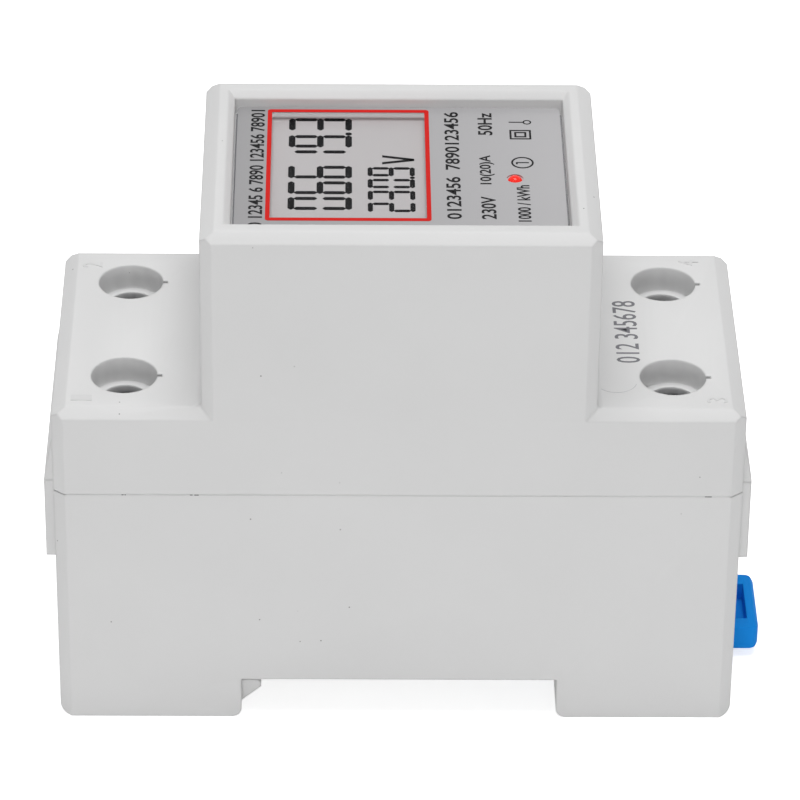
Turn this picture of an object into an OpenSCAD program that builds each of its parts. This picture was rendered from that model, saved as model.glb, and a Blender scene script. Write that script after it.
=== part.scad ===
// Rail-mounted energy meter, two modules wide, standing on its rail feet with the display up.
// X runs from the fixed rail hook to the rail clip, Y across the modules, Z from the feet to the display.
// The origin lies on the plane of the feet, midway between the end faces and midway across the body.

/* [Case] */
// Length of the body over its two end faces
body_l = 79.2; // [76:0.1:96]
// Width across the rail, two modules
body_w = 36; // [34:0.1:44]
// Height of the seam between base and cover
seam_h = 31.5; // [29:0.1:38]
// Height of the shoulders over the seam
shoulder_rise = 11.3; // [10.6:0.1:14]
// Height of the nose over the shoulders
nose_rise = 23.2; // [20:0.1:30]
// Length of the nose that stands out of the panel cut-out
nose_l = 45; // [43:0.1:50]
// Wall of the side faces
side_wall = 1.6; // [1.2:0.1:2]
// Wall of the end faces
end_wall = 1.8; // [1.4:0.1:2.2]
// Wall of the shoulder tops
top_wall = 1.6; // [1.2:0.1:2]
// Inset of the upright corners' chamfer along X
corner_x = 1.3; // [0.8:0.1:1.6]
// Inset of the upright corners' chamfer along Y
corner_y = 1; // [0.6:0.1:1.2]
// Radius of the fillets where the nose meets the shoulders
fillet_r = 0.8; // [0.5:0.1:1.2]
// Height of the shadow groove along the seam
groove_h = 0.15; // [0.1:0.05:0.3]
// Depth of the shadow groove along the seam
groove_d = 0.25; // [0.15:0.05:0.4]
// Inset of the top chamfer along X
bevel_x = 1.6; // [1:0.1:1.8]
// Inset of the top chamfer along Y
bevel_y = 1.1; // [0.8:0.1:1.5]
// Drop of the top chamfer
bevel_z = 1.2; // [0.8:0.1:1.5]
// Radius of the feet's lower corners
foot_r = 1.2; // [0.8:0.1:1.8]
// Gap that two moulded parts keep where they meet
play = 0.15; // [0.1:0.01:0.2]

/* [Rail channel] */
// Edge of the channel on the fixed hook's side, from the middle
channel_fixed = 18.2; // [17.8:0.1:19]
// Edge of the channel on the clip's side, from the middle
channel_clip = 18.9; // [18:0.1:20]
// Depth of the channel
channel_h = 5.4; // [5:0.1:6]
// Thickness of the floor over the channel
floor_t = 1.8; // [1.4:0.1:2.2]
// Room for the rail's flange over the hooks
flange_gap = 1.15; // [1.05:0.05:1.3]
// Reach of the fixed hook into the channel
hook_reach = 2.3; // [2:0.1:2.6]
// Height of the fixed hook at its root
hook_root = 2.95; // [2.6:0.05:3.1]

/* [Rail clip] */
// Width of the clip
clip_w = 11.2; // [9:0.1:12]
// Thickness of the clip
clip_t = 3.05; // [2.7:0.05:3.1]
// Reach of the clip's tail beyond the end face
clip_tail = 4.1; // [3.6:0.1:5]
// Reach of the clip's nose into the channel
clip_nose = 3.2; // [2.8:0.1:3.5]
// Length of the screwdriver slot in the tail, across the clip
pry_w = 7.2; // [5:0.1:7.6]
// Width of the screwdriver slot
pry_l = 3.4; // [2.5:0.1:3.6]
// Bar left outside the screwdriver slot
pry_bar = 1.3; // [1:0.1:1.6]
// Width of the clip's springy arms
arm_w = 1.1; // [0.9:0.1:1.3]
// Room for the clip to be pulled out
clip_travel = 3; // [2.4:0.1:3.2]

/* [Terminals] */
// Distance of the terminal screws from the end faces
term_inset = 8.1; // [7.9:0.1:8.6]
// Distance of the terminal screws from the side faces
term_side = 7.7; // [7.5:0.1:8]
// Diameter of the screwdriver wells
well_d = 7.6; // [7.2:0.1:7.8]
// Depth of the wells to their ledge
well_h = 3.1; // [2.8:0.1:3.2]
// Diameter of the hole in the ledge
ledge_d = 5.5; // [5:0.1:6]
// Thickness of the ledge
ledge_t = 1; // [0.8:0.1:1.1]
// Diameter of the cable entries
entry_d = 8; // [7:0.1:8.2]
// Distance of the cable entries' centres below the seam
entry_drop = 5.4; // [5.3:0.1:5.6]
// Reach of the cable entry blocks beyond the end faces
entry_reach = 1.2; // [0.8:0.1:2]
// Clear width of the terminal cages
cage_w = 8.2; // [7.8:0.1:8.4]
// Length of the terminal cages along the cable
cage_l = 8; // [7:0.1:8.6]
// Wall of the terminal cages
cage_t = 1.1; // [0.9:0.1:1.2]
// Thickness of the cages' threaded tops
cage_top = 1.8; // [1.5:0.1:2]
// Diameter of the terminal screws' heads
screw_d = 6.6; // [6:0.1:6.8]
// Height of the terminal screws' heads
screw_h = 1.8; // [1.5:0.1:2]
// Diameter of the terminal screws' threads
thread_d = 5; // [4:0.1:5.2]
// Lift of the cages from open to closed
cage_lift = 3.2; // [2.4:0.1:3.2]
// Thickness of the copper bars
bar_t = 1.2; // [1:0.1:1.2]
// Width of the copper bars
bar_w = 7; // [6:0.1:7.4]

/* [Window] */
// Flat rim left round the window, along X, inside the chamfer
rim_x = 1.05; // [0.8:0.05:1.4]
// Flat rim left round the window, along Y, inside the chamfer
rim_y = 1.45; // [1:0.05:1.8]
// Slope round the window, its width
slope_w = 0.75; // [0.5:0.05:1]
// Slope round the window, its depth
slope_h = 0.82; // [0.5:0.02:1]
// Depth of the nameplate under the top of the nose
plate_drop = 1.7; // [1.4:0.05:2]
// Thickness of the nameplate film
film_t = 0.15; // [0.1:0.01:0.3]
// Thickness of the clear window
lens_t = 1; // [0.8:0.1:1.4]
// Ledge under the edge of the window
lens_ledge = 1.1; // [0.8:0.1:1.2]
// Visible length of the display along X
view_l = 17.7; // [15:0.1:18]
// Margin between the display and the window's edge on the hook's side
view_margin = 4.35; // [4.2:0.05:4.6]
// Margin between the display and the window's near edge
near_margin = 3.7; // [3.2:0.1:4.2]
// Margin between the display and the window's far edge
far_margin = 1.4; // [1.3:0.1:2]
// Distance of the pulse lamp from the window's edge on the clip's side
lamp_margin = 6; // [5:0.1:6.5]
// Distance of the pulse lamp from the window's near edge
lamp_near = 12.65; // [11:0.05:13.5]
// Diameter of the pulse lamp
lamp_d = 1.8; // [1.6:0.1:2.4]

/* [Electronics] */
// Thickness of the printed boards
board_t = 1.2; // [1:0.1:1.6]
// Height of the main board over the floor, as a share of the room under the bars
board_share = 0.38; // [0.34:0.01:0.4]
// Thickness of the display cell
cell_t = 1.8; // [1.6:0.1:2.2]
// Height of the display cell over its board
cell_lift = 2.6; // [2:0.1:3.4]

/* [Hidden] */
$fn = 64;
eps = 0.01;
over = 1;

// Case
ex = body_l / 2;
ey = body_w / 2;
inner_x = ex - end_wall;
inner_y = ey - side_wall;
floor_z = channel_h + floor_t;
shoulder_h = seam_h + shoulder_rise;
total_h = shoulder_h + nose_rise;
nose_x = nose_l / 2;
nose_in_x = nose_x - end_wall;
shelf_z = shoulder_h - top_wall;
lip_t = 1;
lip_h = 1.8;
lip_x = 20;

// Terminals
term_x = ex - term_inset;
term_y = ey - term_side;
wall_t = 1.2;
wall_x = term_x - cage_l / 2 - wall_t - 2;
entry_z = seam_h - entry_drop;
entry_r = entry_d / 2;
block_y = ey - 3;
block_z = entry_z - entry_r - 1.1;
hood_h = 6.4;
hood_in = 1.2;
hood_root = 1;
seat_t = 1.2;
seat_x = inner_x - 1.6;
seat_y = entry_r + 1;
ledge_z = shoulder_h - well_h;
tube_r = well_d / 2 + 1.3;
guide_r = screw_d / 2 + 2 * play;
notch_w = 0.5;
notch_l = 0.55;
bar_z = entry_z + entry_r + 0.2;
bar_top = bar_z + bar_t;
bar_end = inner_x - 0.2;
cage_floor = entry_z - entry_r - 0.1;
cage_roof = bar_top + 0.1;
cage_z1 = cage_roof + cage_top;
cage_y = cage_w / 2 + cage_t;
screw_z1 = ledge_z - ledge_t - 0.2;
head_z = screw_z1 - screw_h;
tube_z = cage_z1 + cage_lift + 0.3;
thread_gap = 0.05;
slot_w = 1.2;
slot_h = 1;
cross_y = 1.9;

// Window
lens_x = nose_x - bevel_x - rim_x - slope_w;
lens_y = ey - bevel_y - rim_y - slope_w;
plate_z = total_h - plate_drop;
lens_z = plate_z - film_t - lens_t;
hole_x = lens_x - lens_ledge;
hole_y = lens_y - lens_ledge;
frame_t = 1.2;
lens_gap = 0.1;
roof_z = lens_z - frame_t;
film_gap = 0.35;
film_r = 0.6;
view_x0 = view_margin - lens_x;
view_x1 = view_x0 + view_l;
view_y0 = near_margin - lens_y;
view_y1 = lens_y - far_margin;
lamp_gap = 0.05;
lamp_out = 0.3;
lamp_rim = 0.3;
lamp_foot = 0.5;
lamp_x = lens_x - lamp_margin;
lamp_y = lamp_near - lens_y;

// Display
cell_gap = 0.25;
cell_top = lens_z - lens_gap;
cell_z = cell_top - cell_t;
panel_top = cell_z - cell_lift;
panel_z = panel_top - board_t;
panel_gap = 0.6;
panel_x = nose_in_x - panel_gap;
panel_y = inner_y - panel_gap;
view_cx = (view_x0 + view_x1) / 2;
tray_t = 1.3;
cell_x = view_l / 2 + tray_t;
cell_y = hole_y - cell_gap;
post_r = 1.1;
post_x = panel_x - post_r;
post_y = panel_y - post_r;
strip_x = 2;
strip_in = 1;
ribbon_x = nose_in_x - 2.2;
ribbon_w = 0.9 * term_y;
ribbon_t = 0.3;

// Main board
board_x = wall_x - 1;
board_y = inner_y - 1;
board_z = floor_z + board_share * (bar_z - floor_z);
board_top = board_z + board_t;
room = bar_z - board_top;
boss_x = board_x - 3;
boss_y = board_y - 3;
boss_r = 2.2;
foot_in = boss_x + boss_r;
hold_r = 0.9;
peg_h = 0.6;
pilot_h = 5;
pan_r = 1.8;
pan_h = 1.2;
pan_slot = 0.4;
shunt_x = 9;
tap_x = shunt_x - 1.5;
tap_r = 0.6;

// Parts of the main board: places and sizes as shares of its half length, its half width and the room over it
film_place = [-0.54 * board_x, 0.33 * board_y];
film_size = [0.28 * board_x, 0.19 * board_y, 0.8 * room];
can_place = [0.57 * board_x, -0.62 * board_y];
can_r = 0.25 * board_y;
can_h = 0.84 * room;
disc_place = [0.54 * board_x, 0.72 * board_y];
disc_r = 0.36 * room;
disc_t = 0.24 * board_y;
resistor_place = [-0.4 * board_x, 0.8 * board_y];
resistor_r = 0.11 * board_y;
resistor_l = 0.2 * board_x;
wire_r = 0.35;
meter_place = [-0.41 * board_x, -0.2 * board_y];
meter_size = [0.21 * board_x, 0.22 * board_y, 2];
logic_place = [0.13 * board_x, -0.2 * board_y];
logic_size = [0.16 * board_x, 0.23 * board_y, 1.4];
leg_l = 1.2;
leg_h = 0.3;
crystal_place = [0.13 * board_x, 0.34 * board_y];
crystal_size = [0.2 * board_x, 0.12 * board_y, 0.26 * room];
lead_x = 0.17 * board_x;

// Rail hook and clip
hook_tip = 0.9;
hook_ease = 0.35;
hook_side = 1.5;
clip_z1 = channel_h - flange_gap;
clip_z0 = clip_z1 - clip_t;
clip_x0 = channel_clip - clip_nose;
clip_x1 = ex + clip_tail;
clip_y = clip_w / 2;
tunnel_y = clip_y + play;
pry_x = clip_x1 - pry_bar;
tail_r = 1.2;
clip_ease = 0.4;
clip_tip = 1;
pry_floor = 0.8;
arm_root = 3;
arm_end = 2.4;
arm_x0 = channel_clip + arm_root;
arm_x1 = ex - clip_travel - arm_end;
arm_gap = 1.2;
arm_cut = 0.8;
bump_r = 0.9;
bump_x = arm_x1 - bump_r;
bump_out = 0.5;

// Terminals 1 and 2 take the supply and 3 and 4 the load; odd ones are live, even ones neutral.
function term_place(k) = [k > 2 ? term_x : -term_x, k % 2 == 1 ? -term_y : term_y];

// Box given by its lowest and highest corners
module span(a, b) {
    translate(a) cube(b - a);
}

// Rectangle with half sides x and y and round corners
module round_rect(x, y, r) {
    square([2 * x, 2 * (y - r)], center = true);
    square([2 * (x - r), 2 * y], center = true);
    for (sx = [-1, 1], sy = [-1, 1])
        translate([sx * (x - r), sy * (y - r)]) circle(r);
}

// Upright block with round corners
module round_block(x, y, r, z0, z1) {
    translate([0, 0, z0]) linear_extrude(z1 - z0) round_rect(x, y, r);
}

// Upright block with half sides x and y whose four corners are cut off
module cut_block(x, y, z0, z1) {
    u = x - corner_x;
    v = y - corner_y;
    translate([0, 0, z0]) linear_extrude(z1 - z0)
        polygon([[-u, -y], [u, -y], [x, -v], [x, v], [u, y], [-u, y], [-x, v], [-x, -v]]);
}

// Outline in X and Z drawn out across the body
module across(y0, y1) {
    translate([0, y1, 0]) rotate([90, 0, 0]) linear_extrude(y1 - y0) children();
}

// Outline in Y and Z drawn out along the body
module along(x0, x1) {
    translate([x0, 0, 0]) rotate([90, 0, 90]) linear_extrude(x1 - x0) children();
}

// Round bar between two heights
module post(x, y, r, z0, z1) {
    translate([x, y, z0]) cylinder(r = r, h = z1 - z0);
}

// Outline of a block whose upper corners are cut off
module cut_corners(x, z0, z1, in, drop) {
    polygon([[-x, z0], [x, z0], [x, z1 - drop], [x - in, z1], [in - x, z1], [-x, z1 - drop]]);
}

// Block whose top edges are chamfered on all four sides
module bevelled_block(x, y, z0, z1) {
    intersection() {
        cut_block(x, y, z0, z1);
        across(-y, y) cut_corners(x, z0, z1, bevel_x, bevel_z);
        along(-x, x) cut_corners(y, z0, z1, bevel_y, bevel_z);
    }
}

// Foot beside the channel, with round lower corners
module foot_outline(x0, x1) {
    translate([x0, foot_r]) square([x1 - x0, channel_h]);
    translate([x0 + foot_r, 0]) square([x1 - x0 - 2 * foot_r, channel_h]);
    for (x = [x0 + foot_r, x1 - foot_r])
        translate([x, foot_r]) circle(foot_r);
}

// Side view of the base, with the channel for the rail
module base_outline() {
    translate([-ex, channel_h]) square([body_l, seam_h - channel_h]);
    foot_outline(-ex, -channel_fixed);
    foot_outline(channel_clip, ex);
}

// Fixed hook that the rail's flange hangs on
module hook() {
    tip = hook_reach - channel_fixed;
    across(hook_side - ey, ey - hook_side)
        polygon([[-channel_fixed - over, clip_z1 - hook_root], [-channel_fixed, clip_z1 - hook_root],
                 [tip - hook_ease, clip_z1 - hook_tip - hook_ease], [tip, clip_z1 - hook_tip],
                 [tip, clip_z1 - hook_ease], [tip - hook_ease, clip_z1], [-channel_fixed - over, clip_z1]]);
}

// Cable entry block on one end face, below the seam
module entry_block(side) {
    x = side > 0 ? ex - hood_root : -ex - entry_reach;
    span([x, -block_y, block_z], [x + hood_root + entry_reach, block_y, seam_h]);
}

// Sloping hood over the cable entries, above the seam
module entry_hood(side) {
    top = seam_h + hood_h;
    intersection() {
        across(-block_y, block_y)
            polygon([[side * (ex - hood_root), seam_h], [side * (ex + entry_reach), seam_h],
                     [side * (ex + 0.95 * entry_reach), seam_h + 0.1 * hood_h], [side * ex, top],
                     [side * (ex - hood_root), top]]);
        along(-ex - entry_reach, ex + entry_reach) cut_corners(block_y, seam_h, top, hood_in, 0.95 * hood_h);
    }
}

// Fillet between one side of the nose and the shoulder
module nose_fillet(side) {
    across(bevel_y - ey, ey - bevel_y) translate([side * nose_x, shoulder_h]) difference() {
        translate([side > 0 ? -eps : -fillet_r, -eps]) square(fillet_r + eps);
        translate([side * fillet_r, fillet_r]) circle(fillet_r);
    }
}

// Groove that runs round the body under the seam
module seam_groove() {
    difference() {
        span([-2 * ex, -2 * ey, seam_h - groove_h], [2 * ex, 2 * ey, seam_h + over]);
        cut_block(ex - groove_d, ey - groove_d, 0, 2 * seam_h);
        for (side = [-1, 1])
            translate([side * (ex + entry_reach - groove_d - hood_root), 0, 0])
                span([-hood_root, groove_d - block_y, 0], [hood_root, block_y - groove_d, 2 * seam_h]);
    }
}

// Places of the four terminals
module at_terminals() {
    for (k = [1 : 4])
        translate(term_place(k)) children();
}

// Tunnel in the foot that the rail clip slides in
module clip_tunnel() {
    span([channel_clip - over, -tunnel_y, clip_z0 - play], [ex + over, tunnel_y, clip_z1 + play]);
    for (s = [-1, 1])
        translate([0, s * tunnel_y, 0])
            span([bump_x - bump_r - play, -bump_out - 2 * play, clip_z0 - play],
                 [bump_x + bump_r + clip_travel + play, bump_out + 2 * play, clip_z1 + play]);
}

module base_shell() {
    color("#cecece") difference() {
        union() {
            difference() {
                intersection() {
                    across(-ey, ey) base_outline();
                    cut_block(ex, ey, 0, seam_h);
                }
                span([-inner_x, -inner_y, floor_z], [inner_x, inner_y, seam_h + over]);
                span([-inner_x, -inner_y, floor_t], [-foot_in, inner_y, floor_z + over]);
                span([-lip_x - play, -inner_y - lip_t - play, seam_h - lip_h - play],
                     [lip_x + play, inner_y + lip_t + play, seam_h + over]);
            }
            hook();
            for (side = [-1, 1]) {
                entry_block(side);
                span([side * wall_x - wall_t / 2, -inner_y - eps, floor_z - eps],
                     [side * wall_x + wall_t / 2, inner_y + eps, bar_z]);
                span([side > 0 ? wall_x : -inner_x, -wall_t / 2, floor_z - over],
                     [side > 0 ? inner_x : -wall_x, wall_t / 2, seam_h]);
            }
            for (k = [1 : 4], side = k > 2 ? 1 : -1)
                translate([side * (seat_x + seat_t), term_place(k)[1], 0])
                    span([-seat_t, -seat_y, floor_z - over], [seat_t, seat_y, bar_z]);
            for (sx = [-1, 1], sy = [-1, 1])
                post(sx * boss_x, sy * boss_y, boss_r, floor_z - eps, board_z);
            for (s = [-1, 1])
                post(s * boss_x, -s * boss_y, hold_r, board_z - eps, board_top + peg_h);
        }
        for (k = [1 : 4], side = k > 2 ? 1 : -1)
            translate([0, term_place(k)[1], entry_z]) rotate([0, side * 90, 0])
                translate([0, 0, term_x]) cylinder(r = entry_r, h = ex);
        for (s = [-1, 1])
            post(s * boss_x, s * boss_y, hold_r, board_z - pilot_h, board_z + over);
        clip_tunnel();
        seam_groove();
    }
}

// Hollow of the cover, open to the base
module cover_hollow() {
    span([-inner_x, -inner_y, seam_h - over], [inner_x, inner_y, shelf_z]);
    span([-nose_in_x, -inner_y, seam_h - over], [nose_in_x, inner_y, roof_z]);
}

// Recess and opening of the window
module window_recess() {
    intersection() {
        across(-ey, ey)
            polygon([[-lens_x, total_h - slope_h], [lens_x, total_h - slope_h],
                     [lens_x + 2 * slope_w, total_h + slope_h], [-lens_x - 2 * slope_w, total_h + slope_h]]);
        along(-ex, ex)
            polygon([[-lens_y, total_h - slope_h], [lens_y, total_h - slope_h],
                     [lens_y + 2 * slope_w, total_h + slope_h], [-lens_y - 2 * slope_w, total_h + slope_h]]);
    }
    span([-lens_x, -lens_y, lens_z], [lens_x, lens_y, total_h]);
    span([-hole_x, -hole_y, roof_z - over], [hole_x, hole_y, lens_z + over]);
}

module cover_shell() {
    color("#dcdcdc") difference() {
        union() {
            difference() {
                union() {
                    bevelled_block(ex, ey, seam_h, shoulder_h);
                    bevelled_block(nose_x, ey, seam_h, total_h);
                }
                cover_hollow();
            }
            for (side = [-1, 1]) {
                entry_hood(side);
                nose_fillet(side);
                span([side * wall_x - wall_t / 2, -inner_y - eps, bar_top],
                     [side * wall_x + wall_t / 2, inner_y + eps, shelf_z + eps]);
                span([side > 0 ? wall_x : -inner_x - eps, -wall_t / 2, seam_h],
                     [side > 0 ? inner_x + eps : -wall_x, wall_t / 2, shelf_z + eps]);
                translate([0, side * (inner_y + lip_t / 2), 0])
                    span([-lip_x, -lip_t / 2, seam_h - lip_h], [lip_x, lip_t / 2, seam_h + eps]);
            }
            at_terminals() post(0, 0, tube_r, tube_z, shelf_z + eps);
            for (sx = [-1, 1], sy = [-1, 1])
                post(sx * post_x, sy * post_y, post_r, panel_top, roof_z + eps);
        }
        window_recess();
        at_terminals() {
            post(0, 0, well_d / 2, ledge_z, shoulder_h + over);
            post(0, 0, ledge_d / 2, ledge_z - ledge_t - over, shoulder_h);
            post(0, 0, guide_r, tube_z - over, ledge_z - ledge_t);
            span([0, -notch_w / 2, ledge_z], [well_d / 2 + notch_l, notch_w / 2, shoulder_h + over]);
        }
    }
}

module window_lens() {
    color("#e8eef0") difference() {
        span([play - lens_x, play - lens_y, lens_z], [lens_x - play, lens_y - play, lens_z + lens_t]);
        post(lamp_x, lamp_y, lamp_d / 2 + lamp_gap, 0, total_h);
    }
}

module nameplate() {
    color("#b0adb2") difference() {
        round_block(lens_x - film_gap, lens_y - film_gap, film_r, lens_z + lens_t, plate_z);
        span([view_x0, view_y0, 0], [view_x1, view_y1, total_h]);
        post(lamp_x, lamp_y, lamp_d / 2 + lamp_gap, 0, total_h);
    }
}

module display_cell() {
    color("#c5c3c4") translate([view_cx, 0, 0])
        span([-cell_x, -cell_y, cell_z], [cell_x, cell_y, cell_top]);
}

module display_tray() {
    color("#f0f0ee") translate([view_cx, 0, 0]) difference() {
        span([-cell_x - tray_t, -cell_y, panel_top], [cell_x + tray_t, cell_y, cell_z + cell_t / 2]);
        span([-cell_x, -cell_y - over, cell_z], [cell_x, cell_y + over, cell_top]);
        span([tray_t - cell_x, tray_t - cell_y, 0], [cell_x - tray_t, cell_y - tray_t, total_h]);
    }
}

module contact_strip() {
    color("#303032") translate([view_cx + cell_x - tray_t - strip_x, 0, 0])
        span([0, tray_t - cell_y + strip_in, panel_top], [strip_x, cell_y - tray_t - strip_in, cell_z]);
}

module display_board() {
    color("#2f6b3c") span([-panel_x, -panel_y, panel_z], [panel_x, panel_y, panel_top]);
}

module display_ribbon() {
    color("#c8c8c8") span([ribbon_x, -ribbon_w / 2, board_top], [ribbon_x + ribbon_t, ribbon_w / 2, panel_z]);
}

module pulse_lamp() {
    tip = plate_z + lamp_out - lamp_d / 2;
    color("#e0301c") union() {
        post(lamp_x, lamp_y, lamp_d / 2, panel_top, tip);
        post(lamp_x, lamp_y, lamp_d / 2 + lamp_rim, panel_top, panel_top + lamp_foot);
        translate([lamp_x, lamp_y, tip]) sphere(lamp_d / 2);
    }
}

module main_board() {
    color("#2f6b3c") difference() {
        span([-board_x, -board_y, board_z], [board_x, board_y, board_top]);
        for (sx = [-1, 1], sy = [-1, 1])
            post(sx * boss_x, sy * boss_y, hold_r + play, 0, seam_h);
    }
}

// Small screw that holds the main board to its boss
module board_screw(k) {
    s = k == 1 ? -1 : 1;
    color("#b8b8ba") translate([s * boss_x, s * boss_y, 0]) difference() {
        union() {
            post(0, 0, hold_r - thread_gap, board_z + over - pilot_h, board_top);
            post(0, 0, pan_r, board_top, board_top + pan_h);
        }
        span([-pan_r, -pan_slot / 2, board_top + pan_h / 2], [pan_r, pan_slot / 2, board_top + 2 * pan_h]);
    }
}

// Chip package with legs along two sides; size holds its half length, half width and height
module chip(size, legs) {
    pitch = 1.8 * size[0] / (legs - 1);
    span([-size[0], -size[1], board_top + leg_h / 2], [size[0], size[1], board_top + size[2]]);
    for (i = [0 : legs - 1], s = [-1, 1])
        translate([(i - (legs - 1) / 2) * pitch, s * size[1], board_top])
            span([-pitch / 6, -leg_l / 2, 0], [pitch / 6, leg_l / 2, leg_h]);
}

module metering_chip() {
    color("#26262a") translate(meter_place) chip(meter_size, 8);
}

module controller_chip() {
    color("#26262a") translate(logic_place) chip(logic_size, 8);
}

module clock_crystal() {
    color("#c9c9cc") translate(crystal_place) translate([0, 0, board_top])
        linear_extrude(crystal_size[2]) round_rect(crystal_size[0], crystal_size[1], 0.9 * crystal_size[1]);
}

module film_capacitor() {
    color("#c8a428") translate(film_place)
        span([-film_size[0], -film_size[1], board_top], [film_size[0], film_size[1], board_top + film_size[2]]);
}

module storage_capacitor() {
    groove = can_r / 9;
    color("#3a3f55") translate(can_place) difference() {
        post(0, 0, can_r, board_top, board_top + can_h);
        translate([0, 0, board_top + can_h / 6]) rotate_extrude() translate([can_r + groove / 4, 0]) circle(groove);
    }
}

module surge_disc() {
    disc_z = board_top + 1.2 * disc_r;
    color("#3468a8") translate(disc_place) union() {
        translate([0, disc_t / 2, disc_z]) rotate([90, 0, 0]) cylinder(r = disc_r, h = disc_t);
        for (s = [-1, 1])
            post(s * disc_r / 2, 0, wire_r, board_top, disc_z - disc_r / 2);
    }
}

module mains_resistor() {
    rest_z = board_top + resistor_r + 2 * wire_r;
    foot_x = resistor_l + 2 * wire_r + 1;
    color("#4c7a58") translate(resistor_place) union() {
        translate([-resistor_l, 0, rest_z]) rotate([0, 90, 0]) cylinder(r = resistor_r, h = 2 * resistor_l);
        translate([-foot_x, 0, rest_z]) rotate([0, 90, 0]) cylinder(r = wire_r, h = 2 * foot_x);
        for (s = [-1, 1])
            post(s * foot_x, 0, wire_r, board_top, rest_z);
    }
}

// Copper bar on one side, between two places along the body
module bar(x0, x1, y) {
    span([x0, y - bar_w / 2, bar_z], [x1, y + bar_w / 2, bar_top]);
}

module shunt_strip() {
    color("#8f8a84") bar(-shunt_x, shunt_x, -term_y);
}

module live_bar_in() {
    color("#c8803c") bar(-bar_end, -shunt_x, -term_y);
}

module live_bar_out() {
    color("#c8803c") bar(shunt_x, bar_end, -term_y);
}

module neutral_bar() {
    color("#c8803c") bar(-bar_end, bar_end, term_y);
}

module sense_lead_in() {
    color("#d8d8da") post(-tap_x, -term_y, tap_r, board_top, bar_z);
}

module sense_lead_out() {
    color("#d8d8da") post(tap_x, -term_y, tap_r, board_top, bar_z);
}

module neutral_lead() {
    color("#d8d8da") post(lead_x, term_y, tap_r, board_top, bar_z);
}

// Rail clip with its nose, its springy arms and the slot that a screwdriver pulls it by
module rail_clip() {
    color("#2a80d0") difference() {
        union() {
            intersection() {
                translate([0, 0, clip_z0]) linear_extrude(clip_t) union() {
                    translate([(clip_x0 + clip_x1) / 2, 0]) round_rect((clip_x1 - clip_x0) / 2, clip_y, tail_r);
                    translate([clip_x0, -clip_y]) square([arm_x0 - clip_x0, clip_w]);
                }
                across(-clip_y, clip_y)
                    polygon([[clip_x0, clip_z1 - clip_tip], [clip_x0 + clip_ease, clip_z1 - clip_tip - clip_ease],
                             [channel_clip, clip_z0], [clip_x1 - clip_ease, clip_z0],
                             [clip_x1, clip_z0 + clip_ease], [clip_x1, clip_z1 - clip_ease],
                             [clip_x1 - clip_ease, clip_z1], [clip_x0 + clip_ease, clip_z1],
                             [clip_x0, clip_z1 - clip_ease]]);
            }
            for (s = [-1, 1])
                intersection() {
                    post(bump_x, s * (clip_y + bump_out - bump_r), bump_r, clip_z0, clip_z1);
                    span([0, -2 * clip_y, 0], [ex, 2 * clip_y, seam_h]);
                }
        }
        for (s = [-1, 1])
            translate([0, s * (clip_y - arm_w - arm_gap / 2), 0])
                span([arm_x0, -arm_gap / 2, 0], [arm_x1 + arm_cut, arm_gap / 2, seam_h]);
        for (s = [-1, 1])
            translate([0, s * (clip_y - arm_w / 2), 0])
                span([arm_x1, -arm_w / 2 - play, 0], [arm_x1 + arm_cut, arm_w, seam_h]);
        span([pry_x - pry_l, -pry_w / 2, clip_z0 + pry_floor], [pry_x, pry_w / 2, seam_h]);
    }
}

// Cage that lifts the cable against the copper bar as the screw turns
module terminal_cage(k) {
    color("#b9bbbf") translate(term_place(k)) difference() {
        span([-cage_l / 2, -cage_y, cage_floor - cage_t], [cage_l / 2, cage_y, cage_z1]);
        span([-cage_l, -cage_w / 2, cage_floor], [cage_l, cage_w / 2, cage_roof]);
        post(0, 0, thread_d / 2 + thread_gap, cage_roof - over, cage_z1 + over);
    }
}

// Terminal screw, which turns in place under the ledge of its well
module terminal_screw(k) {
    color("#6c6c72") translate(term_place(k)) difference() {
        union() {
            post(0, 0, thread_d / 2, cage_roof, head_z + eps);
            post(0, 0, screw_d / 2, head_z, screw_z1);
        }
        span([-screw_d, -slot_w / 2, screw_z1 - slot_h], [screw_d, slot_w / 2, screw_z1 + over]);
        span([-slot_w / 2, -cross_y, screw_z1 - slot_h], [slot_w / 2, cross_y, screw_z1 + over]);
    }
}

base_shell();
cover_shell();
window_lens();
nameplate();
display_cell();
display_tray();
contact_strip();
display_board();
display_ribbon();
pulse_lamp();
main_board();
board_screw(1);  // board_screw_1
board_screw(2);  // board_screw_2
metering_chip();
controller_chip();
clock_crystal();
film_capacitor();
storage_capacitor();
surge_disc();
mains_resistor();
shunt_strip();
live_bar_in();
live_bar_out();
neutral_bar();
sense_lead_in();
sense_lead_out();
neutral_lead();
rail_clip();
terminal_cage(1);  // terminal_cage_1
terminal_cage(2);  // terminal_cage_2
terminal_cage(3);  // terminal_cage_3
terminal_cage(4);  // terminal_cage_4
terminal_screw(1);  // terminal_screw_1
terminal_screw(2);  // terminal_screw_2
terminal_screw(3);  // terminal_screw_3
terminal_screw(4);  // terminal_screw_4
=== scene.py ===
"""Looks of a rail-mounted energy meter: moulded housing, printed nameplate, digit display, clip and screws.

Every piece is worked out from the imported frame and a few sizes, so it stays on its solid. All lengths are in metres.
The display is read with its top towards -X, so a line of print runs along +Y.
"""

import math

import bpy
import bmesh
import numpy as np
from mathutils import Matrix, Vector


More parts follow.
